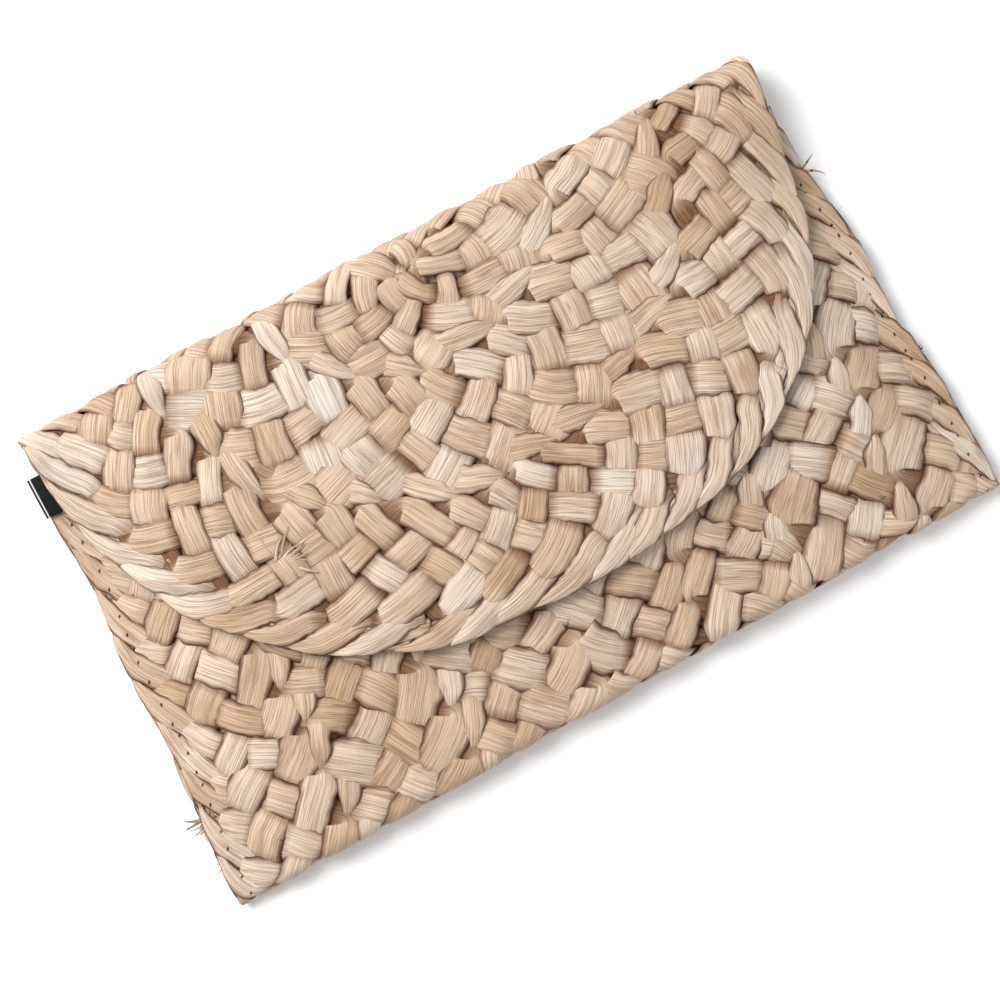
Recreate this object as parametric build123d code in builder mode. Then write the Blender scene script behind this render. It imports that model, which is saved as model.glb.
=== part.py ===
from build123d import *
import math
import os

# A woven straw envelope clutch, lying on its back.
# X runs across the purse, +Y points to the top fold and +Z out of the front.
# The origin is the middle of the bottom of the whole purse's box.

# Driving dimensions, in millimetres and degrees
top_width = 300.0  # across the purse at the top fold
bottom_width = 316.0  # across the flared bottom corners
height = 186.0  # from the bottom fold to the top fold
mat_thickness = 4.0  # of the flat straw plait
lining_thickness = 0.6
cavity_depth = 8.4  # clear space between the two linings
flap_gap = 0.3  # between the closed flap and the front
side_border_width = 11.0  # the sewn strips along both sides
edge_plait_width = 10.0  # the narrow plait round the flap and along the mouth
mouth_depth = 22.0  # from the top fold down to the front's upper edge

flap_depth = 145.0  # from the top fold to the flap's lowest edge
flap_width = 298.0
flap_straight = 30.0  # how far the flap's sides run straight before they curve

# Seams between the upright plait courses of the body, from the middle, at mid height
body_seams = (-107.0, -59.0, -9.0, 37.0, 77.0, 123.0)

# The flap's courses are nested arches round the end of the middle one:
# left side, right side, depth and straight run
centre_arch = (-15.0, 17.0, 17.0, 2.0)
inner_arch = (-59.0, 62.0, 50.0, 2.0)
middle_arch = (-103.0, 107.0, 96.0, 2.0)

# Magnetic snap
snap_rise = 24.0  # from the flap's lowest edge up to the snap
snap_radius = 8.0
snap_clearance = 0.5  # round the stud plate in the socket's recess
stud_plate_thickness = 1.2
stud_radius = 2.5
stud_length = 1.4
socket_thickness = 1.8
socket_bore_radius = 2.9
socket_bore_depth = 1.5
rivet_radius = 1.5
washer_radius = 7.0
washer_thickness = 0.5

# Slip pocket on the back lining and the tab in the left side seam
pocket_width = 150.0
pocket_height = 95.0
pocket_top = 45.0
pocket_thickness = 0.6
tab_reach = 157.5  # from the middle to the tab's folded end
tab_top = 15.0  # below the top fold
tab_height = 15.5
tab_thickness = 1.6
tab_rise = 8.0

# Heights and places that follow from them
top_y = height / 2
bottom_y = -height / 2
pouch_thickness = 2 * mat_thickness + 2 * lining_thickness + cavity_depth
flap_underside = pouch_thickness + flap_gap
total_thickness = flap_underside + lining_thickness + mat_thickness
fold_radius = total_thickness / 2
fold_y = top_y - fold_radius
bottom_radius = pouch_thickness / 2
bend_y = bottom_y + bottom_radius
mouth_y = top_y - mouth_depth
fold_gap_angle = math.degrees(math.asin(flap_gap / 2 / fold_radius))
snap_y = top_y - flap_depth + snap_rise
reach = bottom_width  # longer than the purse is wide, for cutting tools
flare = (bottom_width - top_width) / 2 / height

stud_plate_bottom = flap_underside - stud_plate_thickness
socket_top = stud_plate_bottom - flap_gap
socket_bottom = socket_top - socket_thickness
front_inner = pouch_thickness - mat_thickness


def half_width(y):
    """Half the width of the purse's body at a height."""
    return top_width / 2 + flare * (top_y - y)


def wall_section(outer, inner, front_end):
    """Section of a layer of the pouch: front, bottom fold, back and half the top fold.

    The depths are measured inwards from the outside of the pouch.
    """
    with BuildSketch(Plane.YZ) as outline:
        with BuildLine():
            Line((front_end, pouch_thickness - outer), (bend_y, pouch_thickness - outer))
            CenterArc((bend_y, bottom_radius), bottom_radius - outer, 90, 180)
            Line((bend_y, outer), (fold_y, outer))
            sweep = 90 - fold_gap_angle
            fold_outer = CenterArc((fold_y, fold_radius), fold_radius - outer, -90, sweep)
            fold_inner = CenterArc((fold_y, fold_radius), fold_radius - inner, -90, sweep)
            Line(fold_outer @ 1, fold_inner @ 1)
            Line((fold_y, inner), (bend_y, inner))
            CenterArc((bend_y, bottom_radius), bottom_radius - inner, 90, 180)
            Line((bend_y, pouch_thickness - inner), (front_end, pouch_thickness - inner))
            Line((front_end, pouch_thickness - inner), (front_end, pouch_thickness - outer))
        make_face()
    return outline.sketch


def side_section():
    """Section of a side border: it closes the pouch and follows the back into the fold."""
    with BuildSketch(Plane.YZ) as outline:
        with BuildLine():
            Line((mouth_y, pouch_thickness), (bend_y, pouch_thickness))
            CenterArc((bend_y, bottom_radius), bottom_radius, 90, 180)
            Line((bend_y, 0), (fold_y, 0))
            sweep = 90 - fold_gap_angle
            fold_outer = CenterArc((fold_y, fold_radius), fold_radius, -90, sweep)
            fold_inner = CenterArc((fold_y, fold_radius), fold_radius - mat_thickness, -90, sweep)
            Line(fold_outer @ 1, fold_inner @ 1)
            Line((fold_y, mat_thickness), (mouth_y, mat_thickness))
            Line((mouth_y, mat_thickness), (mouth_y, pouch_thickness))
        make_face()
    return outline.sketch


def flap_section(outer, inner):
    """Section of a layer of the flap: the upper half of the top fold and the flat flap."""
    flap_end = top_y - flap_depth
    sweep = fold_gap_angle - 90
    with BuildSketch(Plane.YZ) as outline:
        with BuildLine():
            fold_outer = CenterArc((fold_y, fold_radius), fold_radius - outer, 90, sweep)
            fold_inner = CenterArc((fold_y, fold_radius), fold_radius - inner, 90, sweep)
            Line(fold_outer @ 1, fold_inner @ 1)
            Line((fold_y, total_thickness - outer), (flap_end, total_thickness - outer))
            Line((fold_y, total_thickness - inner), (flap_end, total_thickness - inner))
            Line((flap_end, total_thickness - inner), (flap_end, total_thickness - outer))
        make_face()
    return outline.sketch


def arch(left, right, depth, straight):
    """Outline of a flap course: two straight legs from the fold and half an ellipse."""
    middle = (left + right) / 2
    turn_y = top_y - straight
    with BuildSketch() as outline:
        with BuildLine():
            half = (right - left) / 2
            EllipticalCenterArc((middle, turn_y), half, depth - straight, 180, arc_size=180)
            Line((right, turn_y), (right, top_y + 1))
            Line((right, top_y + 1), (left, top_y + 1))
            Line((left, top_y + 1), (left, turn_y))
        make_face()
    return outline.sketch


def upright_strip(left_share, right_share):
    """Outline of an upright course between two seams, which fan out with the flare.

    The shares are places at mid height; one past the side borders is held at their edge.
    """
    corners = []
    for y, share in (
        (bottom_y - 1, left_share),
        (bottom_y - 1, right_share),
        (top_y + 1, right_share),
        (top_y + 1, left_share),
    ):
        limit = half_width(y) - side_border_width
        x = share * half_width(y) / half_width(0)
        corners.append((max(-limit, min(limit, x)), y))
    with BuildSketch() as outline:
        with BuildLine():
            Polyline(*corners, close=True)
        make_face()
    return outline.sketch


def finish(sub_part, name):
    """Label a finished piece and write it."""
    sub_part.part.label = name
    export_step(sub_part.part, f"parts/{name}.step")


os.makedirs("parts", exist_ok=True)

# Body courses: flat plait straps that run up the front, round the bottom and up the back
course_section = wall_section(0, mat_thickness, mouth_y - edge_plait_width)
course_edges = (-reach,) + body_seams + (reach,)
for number, (left, right) in enumerate(zip(course_edges, course_edges[1:]), start=1):
    with BuildPart() as body_course:
        extrude(course_section, amount=reach / 2 + 1, both=True)
        extrude(upright_strip(left, right), amount=total_thickness, mode=Mode.INTERSECT)
        if left < 0 < right:
            with Locations((0, snap_y, pouch_thickness)):
                CounterBoreHole(
                    radius=rivet_radius,
                    counter_bore_radius=snap_radius + snap_clearance,
                    counter_bore_depth=pouch_thickness - socket_bottom,
                    depth=mat_thickness,
                )
            with BuildSketch(Plane.XY.offset(front_inner)):
                with Locations((0, snap_y)):
                    Circle(washer_radius)
            extrude(amount=washer_thickness, mode=Mode.SUBTRACT)
    finish(body_course, f"body_course_{number}")

# Mouth border: the narrow plait that finishes the front's upper edge
with BuildPart() as mouth_border:
    with BuildSketch(Plane.XY.offset(front_inner)):
        with BuildLine():
            low = mouth_y - edge_plait_width
            low_half = half_width(low) - side_border_width
            high_half = half_width(mouth_y) - side_border_width
            Polyline(
                (-low_half, low),
                (low_half, low),
                (high_half, mouth_y),
                (-high_half, mouth_y),
                close=True,
            )
        make_face()
    extrude(amount=mat_thickness)
finish(mouth_border, "mouth_border")

# Side borders: the sewn strips that join front and back along both sides
for name, side in (("side_border_left", -1), ("side_border_right", 1)):
    with BuildPart() as side_border:
        extrude(side_section(), amount=reach / 2 + 1, both=True)
        with BuildSketch():
            with BuildLine():
                low = bottom_y - 1
                high = top_y + 1
                Polyline(
                    (side * half_width(low), low),
                    (side * half_width(high), high),
                    (side * (half_width(high) - side_border_width), high),
                    (side * (half_width(low) - side_border_width), low),
                    close=True,
                )
            make_face()
        extrude(amount=total_thickness, mode=Mode.INTERSECT)
    finish(side_border, name)

# Pouch lining: one sheet up the front, round the bottom and up the back into the fold
with BuildPart() as pouch_lining:
    lining_section = wall_section(mat_thickness, mat_thickness + lining_thickness, mouth_y - 2)
    extrude(lining_section, amount=reach / 2 + 1, both=True)
    extrude(upright_strip(-reach, reach), amount=total_thickness, mode=Mode.INTERSECT)
finish(pouch_lining, "pouch_lining")

# Slip pocket: a patch sewn to the back lining along its sides and bottom
with BuildPart() as inner_pocket:
    with BuildSketch(Plane.XY.offset(mat_thickness + lining_thickness)):
        with Locations((0, pocket_top - pocket_height / 2)):
            RectangleRounded(pocket_width, pocket_height, radius=8)
    extrude(amount=pocket_thickness)
finish(inner_pocket, "inner_pocket")

# Flap courses: nested arches of the same plait, from the fold outwards
flap_side = flap_width / 2
border_arch = (-flap_side, flap_side, flap_depth, flap_straight)
outer_side = flap_side - edge_plait_width
outer_arch = (-outer_side, outer_side, flap_depth - edge_plait_width, flap_straight)
arches = {
    "flap_course_centre": (centre_arch, None),
    "flap_course_inner": (inner_arch, centre_arch),
    "flap_course_middle": (middle_arch, inner_arch),
    "flap_course_outer": (outer_arch, middle_arch),
    "flap_border": (border_arch, outer_arch),
}
for name, (outside, inside) in arches.items():
    with BuildPart() as flap_course:
        extrude(flap_section(0, mat_thickness), amount=reach / 2 + 1, both=True)
        extrude(arch(*outside), amount=total_thickness + 1, mode=Mode.INTERSECT)
        if inside is not None:
            extrude(arch(*inside), amount=total_thickness + 1, mode=Mode.SUBTRACT)
        if name == "flap_course_outer":
            with BuildSketch(Plane.XY.offset(flap_underside + lining_thickness)):
                with Locations((0, snap_y)):
                    Circle(washer_radius)
            extrude(amount=washer_thickness, mode=Mode.SUBTRACT)
    finish(flap_course, name)

# Flap lining: covers the underside up to the middle of the border plait
lining_side = flap_side - edge_plait_width / 2
lining_arch = (-lining_side, lining_side, flap_depth - edge_plait_width / 2, flap_straight)
with BuildPart() as flap_lining:
    lining_section = flap_section(mat_thickness, mat_thickness + lining_thickness)
    extrude(lining_section, amount=reach / 2 + 1, both=True)
    extrude(arch(*lining_arch), amount=total_thickness + 1, mode=Mode.INTERSECT)
    with Locations((0, snap_y, flap_underside + lining_thickness)):
        Hole(rivet_radius, depth=lining_thickness)
finish(flap_lining, "flap_lining")

# Snap socket: sunk in the front, riveted through it
with BuildPart() as snap_socket:
    with BuildSketch(Plane.XY.offset(socket_bottom)):
        with Locations((0, snap_y)):
            Circle(snap_radius)
    extrude(amount=socket_thickness)
    with Locations((0, snap_y, socket_top)):
        Hole(socket_bore_radius, depth=socket_bore_depth)
    with BuildSketch(Plane.XY.offset(front_inner)):
        with Locations((0, snap_y)):
            Circle(rivet_radius)
    extrude(amount=socket_bottom - front_inner)
finish(snap_socket, "snap_socket")

# Snap stud: a plate below the flap lining, with its rivet through the lining
with BuildPart() as snap_stud:
    with BuildSketch(Plane.XY.offset(stud_plate_bottom)):
        with Locations((0, snap_y)):
            Circle(snap_radius)
    extrude(amount=stud_plate_thickness)
    with BuildSketch(Plane.XY.offset(stud_plate_bottom)):
        with Locations((0, snap_y)):
            Circle(stud_radius)
    extrude(amount=-stud_length)
    with BuildSketch(Plane.XY.offset(flap_underside)):
        with Locations((0, snap_y)):
            Circle(rivet_radius)
    extrude(amount=lining_thickness + washer_thickness)
finish(snap_stud, "snap_stud")

# Washers: thin rings that spread the rivets' pull
washer_heights = {
    "snap_socket_washer": front_inner,
    "snap_stud_washer": flap_underside + lining_thickness,
}
for name, base in washer_heights.items():
    with BuildPart() as washer:
        with BuildSketch(Plane.XY.offset(base)):
            with Locations((0, snap_y)):
                Circle(washer_radius)
                Circle(rivet_radius, mode=Mode.SUBTRACT)
        extrude(amount=washer_thickness)
    finish(washer, name)

# Label tab: a folded ribbon caught in the left side seam
with BuildPart() as label_tab:
    with BuildSketch(Plane.XY.offset(tab_rise)):
        with BuildLine():
            high = top_y - tab_top
            low = high - tab_height
            Polyline(
                (-half_width(high), high),
                (-tab_reach, high),
                (-tab_reach, low),
                (-half_width(low), low),
                close=True,
            )
        make_face()
    extrude(amount=tab_thickness)
finish(label_tab, "label_tab")
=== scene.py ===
import math
from functools import partial
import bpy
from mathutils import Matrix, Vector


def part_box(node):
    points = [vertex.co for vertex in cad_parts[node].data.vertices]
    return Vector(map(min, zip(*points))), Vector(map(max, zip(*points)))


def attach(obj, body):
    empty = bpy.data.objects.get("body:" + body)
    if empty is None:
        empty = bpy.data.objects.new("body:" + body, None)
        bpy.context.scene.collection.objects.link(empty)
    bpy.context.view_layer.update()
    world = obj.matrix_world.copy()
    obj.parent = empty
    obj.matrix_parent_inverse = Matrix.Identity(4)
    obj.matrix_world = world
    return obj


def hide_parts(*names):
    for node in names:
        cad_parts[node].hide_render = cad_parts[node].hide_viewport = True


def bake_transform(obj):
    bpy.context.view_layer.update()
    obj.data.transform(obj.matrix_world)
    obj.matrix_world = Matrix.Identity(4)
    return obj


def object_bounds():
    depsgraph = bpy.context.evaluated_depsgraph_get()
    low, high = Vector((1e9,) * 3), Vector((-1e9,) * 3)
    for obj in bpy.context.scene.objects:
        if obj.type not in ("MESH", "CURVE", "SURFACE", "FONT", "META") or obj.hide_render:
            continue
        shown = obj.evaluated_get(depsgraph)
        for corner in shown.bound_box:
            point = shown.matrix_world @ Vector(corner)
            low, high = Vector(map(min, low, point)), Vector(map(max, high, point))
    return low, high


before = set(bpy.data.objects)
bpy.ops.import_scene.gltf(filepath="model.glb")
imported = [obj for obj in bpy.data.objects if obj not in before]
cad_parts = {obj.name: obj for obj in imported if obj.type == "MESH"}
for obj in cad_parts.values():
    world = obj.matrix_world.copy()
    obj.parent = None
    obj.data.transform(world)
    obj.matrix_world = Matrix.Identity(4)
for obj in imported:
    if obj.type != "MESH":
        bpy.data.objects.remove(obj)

from types import SimpleNamespace

import bpy
import numpy as np
from mathutils import Vector

bl_info = {
    "name": "Plaited straw clutch",
    "version": (1, 0, 0),
    "blender": (4, 5, 0),
    "location": "3D View > Sidebar > Clutch",
    "description": "Models a woven corn-husk envelope clutch round its packed frame",
    "category": "Add Mesh",
}

MM = 0.001


# ---- Sizes read from the frame, in millimetres

def node_box(node):
    """Lowest and highest corner of a frame node, in millimetres."""
    low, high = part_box(node)
    return Vector(low) / MM, Vector(high) / MM


CAD_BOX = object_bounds()
BAG_LOW = Vector(CAD_BOX[0]) / MM
BAG_HIGH = Vector(CAD_BOX[1]) / MM
MOUTH_LOW, MOUTH_HIGH = node_box("mouth_border")
FLAP_LOW, _ = node_box("flap_border")
SOCKET_LOW, SOCKET_HIGH = node_box("snap_socket")
TAB_LOW, TAB_HIGH = node_box("label_tab")

MAT = MOUTH_HIGH.z - MOUTH_LOW.z
TOP_Y = BAG_HIGH.y
BOTTOM_Y = BAG_LOW.y
MOUTH_Y = MOUTH_HIGH.y
FLAP_TIP_Y = FLAP_LOW.y
POUCH_TOP = MOUTH_HIGH.z
TOTAL = BAG_HIGH.z
LIFT = TOTAL - MAT - POUCH_TOP  # lining and gap between the front and the flap
BOTTOM_HALF = BAG_HIGH.x
TOP_HALF = 150.0
EDGE_WIDTH = 11.0  # of the side borders and the flap's edge plait
EDGE_THICKNESS = 2 * MAT - 1.2  # where front and back are pressed and sewn together
SNAP_Y = (SOCKET_LOW.y + SOCKET_HIGH.y) / 2
STITCH_PITCH = 6.0  # of the seam that sews front, back and flap edges
TAB_TAKEN = 3.8  # how much of the ribbon the sewn edge takes up

# x of the seams between the body's upright courses, half way up the purse
BODY_SEAMS = (-152.0, -107.0, -59.0, -9.0, 37.0, 77.0, 123.0, 168.0)
RINGS = ("centre", "inner", "middle", "outer")  # the flap's nested arches
ARCH_BOXES = {name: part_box(f"flap_course_{name}") for name in RINGS}
ARCH_BOXES["edge"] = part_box("flap_border")
# For an arch's left and right half, 2 is an ellipse and more runs straighter down the side
ARCH_FULLNESS = {
    "centre": (2.0, 2.0),
    "inner": (2.0, 2.0),
    "middle": (2.05, 2.15),
    "outer": (2.2, 2.5),
    "edge": (2.2, 2.5),
}

SLACK = 0.2  # how far the mat stays inside the purse's box
SIDE_FADE = 42.0  # the pouch fills out over this width from its sewn sides
BOTTOM_FADE = 62.0  # and over this height from its bottom
BOTTOM_FULLNESS = 0.42  # how full it still is at the bottom
FOLD_DROP = 3.4  # how much lower the top fold lies at its ends
SETTLE_LENGTH = 45.0  # over this length the flap comes down from the fold onto the front
FRONT_LIMIT = 2.7  # the husk stays this near the mat's middle on the front and the flap
BACK_LIMIT = 1.95  # and this near it on the lined side and at the back
SLIP_LENGTH = 16.0  # a strand's place along the plait drifts over lengths of about this
HUSK_LENGTH = 120.0  # a new leaf, with its own tone, is laid in after this length
SOCKET_RADIUS = 8.0  # of the place pressed flat round the snap's socket
TRIM = 5.0  # the courses stop this far inside the sewn sides
TURN_LENGTH = 2.5  # extra rows are laid round a turn as if it were this much longer per radian
LINING_GAP = 0.3  # between the mat's inner side and the middle of the lining
LINING_INSET = 5.0  # the flap's lining stops this far inside its edge
CLOTH = 0.4  # thickness of the lining
TAB_REACH = 9.5  # from the tab's folded end into the seam
HIGHLIGHT_INSET = 1.0  # from its folded end to the painted highlight line along its fold

# A frayed husk end on the flap's lower left, as x and depth below the top fold
TUFT_X = -88.0
TUFT_DEPTH = 86.0
# Torn fibres at the sides: x and m of the place, heading in radians, count, length and seed
FRAYS = {
    "left": ((-151.8, 127.0, 2.7, 9, 11.0, 61), (-153.2, 143.0, 2.9, 6, 8.0, 62)),
    "right": ((148.8, 26.0, 0.3, 3, 10.0, 63), (152.6, 104.0, 0.1, 3, 6.0, 64)),
}

# The stage, in metres and degrees: a camera that looks almost straight down on the purse, turned
# clockwise, and large soft lights as name, place, size and share of the key light's power
CAMERA_PLACE = (-0.0742, -0.0636, 0.8584)
CAMERA_TURN = (5.34, -2.18, -28.82)
LIGHTS = (
    ("key", (-0.62, 0.75, 0.95), 0.9, 1.0),
    ("fill", (0.9, -0.7, 1.0), 1.4, 0.25),
)
WORLD_STRENGTH = 0.42
FLOOR_DROP = 0.4  # in millimetres: folds of husk reach a little below the frame's flat back


def smooth(t):
    """Ease from 0 to 1."""
    t = np.clip(t, 0.0, 1.0)
    return t * t * (3.0 - 2.0 * t)


def half_width(y):
    """Half the body's width at a height."""
    return TOP_HALF + (BOTTOM_HALF - TOP_HALF) * (TOP_Y - y) / (TOP_Y - BOTTOM_Y)


def inset(x, y):
    """0 at the side seams, 1 where the pouch is full."""
    return smooth((half_width(y) - np.abs(x)) / SIDE_FADE)


def pouch_thickness(x, y):
    """How thick the pouch lies: thin at its sewn sides and bottom, full in the middle."""
    y = np.minimum(y, MOUTH_Y)
    fullness = BOTTOM_FULLNESS + (1.0 - BOTTOM_FULLNESS) * smooth((y - BOTTOM_Y) / BOTTOM_FADE)
    return EDGE_THICKNESS + (POUCH_TOP - SLACK - EDGE_THICKNESS) * inset(x, y) * fullness


def fold_height(x):
    """Height of the whole purse over the back at the top fold."""
    return TOTAL - SLACK - FOLD_DROP * (1.0 - inset(x, MOUTH_Y))


# ---- The mat
# It is one long sheet from the mouth down the front, round the bottom, up the back, over the top
# fold and down the flap. A place on it is (x, m), where m is the distance along it from the mouth,
# and n is the height above its middle.

BEND_Y = BOTTOM_Y + 6.4  # where the front starts to turn under
BEND_RADIUS = 5.0
FOLD_RADIUS = (TOTAL - SLACK - MAT) / 2
FOLD_Y = TOP_Y - MAT / 2 - FOLD_RADIUS
M_BEND = MOUTH_Y - BEND_Y
M_BACK = M_BEND + math.pi * BEND_RADIUS
M_FOLD = M_BACK + FOLD_Y - BEND_Y
M_CREST = M_FOLD + math.pi * FOLD_RADIUS / 2
M_FLAP = M_CREST + math.pi * FOLD_RADIUS / 2
M_TIP = M_FLAP + FOLD_Y - FLAP_TIP_Y


def mat_middle(x, m):
    """Points on the middle of the mat's thickness."""
    bend_radius = (pouch_thickness(x, BEND_Y) - MAT) / 2
    bend_y = BOTTOM_Y + bend_radius + MAT / 2
    fold_radius = (fold_height(x) - MAT) / 2
    fold_y = TOP_Y - MAT / 2 - fold_radius

    front_t = np.clip(m / M_BEND, -1.0, 1.0)
    front_y = MOUTH_Y + (bend_y - MOUTH_Y) * front_t
    front_z = pouch_thickness(x, front_y) - MAT / 2

    bend_angle = np.clip((m - M_BEND) / (M_BACK - M_BEND), 0.0, 1.0) * math.pi
    bend_top = pouch_thickness(x, bend_y) - MAT / 2
    bend_mid = (bend_top + MAT / 2) / 2
    turn_y = bend_y - bend_radius * np.sin(bend_angle)
    turn_z = bend_mid + (bend_top - bend_mid) * np.cos(bend_angle)

    back_t = np.clip((m - M_BACK) / (M_FOLD - M_BACK), 0.0, 1.0)
    back_y = bend_y + (fold_y - bend_y) * back_t

    fold_angle = np.clip((m - M_FOLD) / (M_FLAP - M_FOLD), 0.0, 1.0) * math.pi
    over_y = fold_y + fold_radius * np.sin(fold_angle)
    over_z = MAT / 2 + fold_radius * (1.0 - np.cos(fold_angle))

    flap_t = np.maximum(m - M_FLAP, 0.0) / (M_TIP - M_FLAP)
    flap_y = fold_y + (FLAP_TIP_Y - fold_y) * flap_t
    rest_z = pouch_thickness(x, flap_y) + LIFT + MAT / 2
    start_z = fold_height(x) - MAT / 2
    settle = smooth((fold_y - flap_y) / SETTLE_LENGTH)
    hover = start_z - (pouch_thickness(x, fold_y) + LIFT + MAT / 2)
    flap_z = rest_z + hover * (1.0 - settle)

    y = np.where(m < M_BEND, front_y, turn_y)
    z = np.where(m < M_BEND, front_z, turn_z)
    later = ((M_BACK, back_y, MAT / 2), (M_FOLD, over_y, over_z), (M_FLAP, flap_y, flap_z))
    for start, y_after, z_after in later:
        y = np.where(m > start, y_after, y)
        z = np.where(m > start, z_after, z)
    return np.stack([x, y, z], axis=-1)


def mat_point(x, m, n):
    """Points at height n above the mat's middle, on its outer side."""
    step = 0.4
    along_x = mat_middle(x + step, m) - mat_middle(x - step, m)
    along_m = mat_middle(x, m + step) - mat_middle(x, m - step)
    normal = np.cross(along_m, along_x)
    normal /= np.linalg.norm(normal, axis=-1, keepdims=True)
    return mat_middle(x, m) + normal * np.asarray(n)[..., None]


def mat_distance(drop):
    """Distance along the mat of a place that lies drop below the top fold, seen from above."""
    on_fold = np.arccos(np.clip(1.0 - drop / (FOLD_RADIUS + MAT / 2), -1.0, 1.0))
    fold_m = M_CREST + on_fold / (math.pi / 2) * (M_FLAP - M_CREST)
    return np.where(drop < FOLD_RADIUS + MAT / 2, fold_m, M_FLAP + drop - FOLD_RADIUS - MAT / 2)


def wander(x, m, seed, size, strength):
    """Smooth random drift over the mat: a sum of waves about size long."""
    rng = np.random.default_rng(seed)
    total = np.zeros_like(np.asarray(x, float) + np.asarray(m, float))
    for _ in range(7):
        angle = rng.uniform(0, 2 * math.pi)
        length = size * rng.uniform(0.6, 1.7)
        phase = rng.uniform(0, 2 * math.pi)
        total += np.sin(2 * math.pi * (x * math.cos(angle) + m * math.sin(angle)) / length + phase)
    return total * strength / 2.6


# ---- Courses: how each plait runs over the mat

def body_y(m):
    """y of a place on the body's front or back."""
    y = np.where(m < M_BEND, MOUTH_Y - m, BEND_Y + np.maximum(m - M_BACK, 0.0))
    return np.minimum(y, TOP_Y)


def seam_line(middle_x, fold_x, m):
    """x of a seam along the mat: it fans out from middle_x, half way up, and drifts to fold_x."""
    fanned = middle_x * half_width(body_y(m)) / half_width(0.0)
    drift = smooth((m - M_BACK) / (M_FOLD - M_BACK))
    return fanned * (1.0 - drift) + fold_x * drift


def arch_box(name):
    """Left, right and depth below the top fold of one of the flap's nested arches."""
    low, high = ARCH_BOXES[name]
    return low[0] / MM, high[0] / MM, TOP_Y - low[1] / MM


def arch_line(name, turn):
    """Points of an arch on the flap, for turns from pi, left, to 0, right."""
    left, right, depth = arch_box(name)
    power = 2.0 / np.where(turn > math.pi / 2, *ARCH_FULLNESS[name])
    across = np.sign(np.cos(turn)) * np.abs(np.cos(turn)) ** power
    x = (left + right) / 2 + (right - left) / 2 * across
    return x, mat_distance(depth * np.abs(np.sin(turn)) ** power)


def ring_table(inner, outer, inner_seams, outer_seams):
    """Inner and outer edge of a plait that runs up one side, round the flap and down again."""
    m_leg = np.linspace(0.0, M_CREST, 160)[:-1]
    turn = np.linspace(math.pi, 0.0, 240)
    rows = []
    for name, seams in ((inner, inner_seams), (outer, outer_seams)):
        left, right, _ = arch_box(name)
        x_arch, m_arch = arch_line(name, turn)
        x_up = seam_line(seams[0], left, m_leg)
        x_down = seam_line(seams[1], right, m_leg)
        rows.append(np.concatenate([x_up, x_arch, x_down[::-1]]))
        rows.append(np.concatenate([m_leg, m_arch, m_leg[::-1]]))
    return course_from(*rows)


def strap_table(left_seam, right_seam):
    """Edges of the middle course, which ends rounded just over the top fold."""
    left, right, depth = arch_box("centre")
    m_leg = np.linspace(0.0, M_CREST, 200)[:-1]
    drop = np.linspace(0.0, 0.93, 24)
    narrowing = np.sqrt(1.0 - drop ** 2)
    middle = (left + right) / 2
    half = (right - left) / 2 + 1.5
    x_left = np.concatenate([seam_line(left_seam, left, m_leg), middle - half * narrowing])
    x_right = np.concatenate([seam_line(right_seam, right, m_leg), middle + half * narrowing])
    m_all = np.concatenate([m_leg, mat_distance(depth * drop)])
    return course_from(x_left, m_all, x_right, m_all)


def cross_table(m_low, m_high):
    """Edges of the plait along the mouth, from side border to side border."""
    across = np.linspace(-1.0, 1.0, 90)
    half_high = half_width(MOUTH_Y - m_high) - EDGE_WIDTH + 1.0
    half_low = half_width(MOUTH_Y - m_low) - EDGE_WIDTH + 1.0
    high = np.full_like(across, m_high)
    low = np.full_like(across, m_low)
    return course_from(across * half_high, high, across * half_low, low)


def course_from(x_in, m_in, x_out, m_out):
    """A course's edges against the distance along its middle."""
    x_mid = (x_in + x_out) / 2
    m_mid = (m_in + m_out) / 2
    steps = np.hypot(np.diff(x_mid), np.diff(m_mid))
    along = np.concatenate([[0.0], np.cumsum(steps)])
    width = np.hypot(x_out - x_in, m_out - m_in)
    edges = {"x_in": x_in, "m_in": m_in, "x_out": x_out, "m_out": m_out}
    return {**edges, "a": along, "width": width, "length": along[-1]}


def on_course(course, a, beta):
    """Mat place at distance a along a course and beta across it, -1 inner to 1 outer."""
    share = (beta + 1.0) / 2
    x_in, m_in, x_out, m_out = (
        np.interp(a, course["a"], course[key]) for key in ("x_in", "m_in", "x_out", "m_out")
    )
    return x_in + (x_out - x_in) * share, m_in + (m_out - m_in) * share


# ---- Plaiting

ROW_KEYS = ("x", "m", "n", "u", "v", "tone", "rim", "dip", "course_a", "course_b")


def zigzag(phase, sharpness):
    """-1 to 1 and back once per phase, with rounded turns."""
    return -np.arcsin(sharpness * np.cos(2 * math.pi * phase)) / math.asin(sharpness)


def over_under(crossing, strands):
    """Height of a strand, -1 under to 1 over, at a place counted in crossings from its last turn.

    It goes under the last strand before a turn, folds, and comes back on top of itself.
    """
    height = -np.cos(math.pi * crossing)
    height = np.where(crossing < 1.0, 1.0 - 1.35 * np.exp(-crossing / 0.22), height)
    left = strands - crossing
    return np.where(left < 1.0, -1.0 + 0.65 * np.exp(-left / 0.22), height)


def husk_section(points_top, points_under):
    """Places round a flattened husk strand: across from -1 to 1 and the share of its height."""
    top = np.cos(np.linspace(math.pi, 0.0, points_top))
    top_z = (1.0 - np.abs(top) ** 3.0) ** 0.75
    under = np.cos(np.linspace(0.0, math.pi, points_under + 2))[1:-1]
    under_z = -0.75 * (1.0 - np.abs(under) ** 3.0) ** 0.75
    return np.concatenate([top, under]), np.concatenate([top_z, under_z])


def drift(rng, along, size, low, high):
    """Smooth random values between low and high that change over lengths of about size."""
    knots = int(along[-1] / size) + 2
    return np.interp(along, np.linspace(0.0, along[-1], knots), rng.uniform(low, high, knots))


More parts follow.
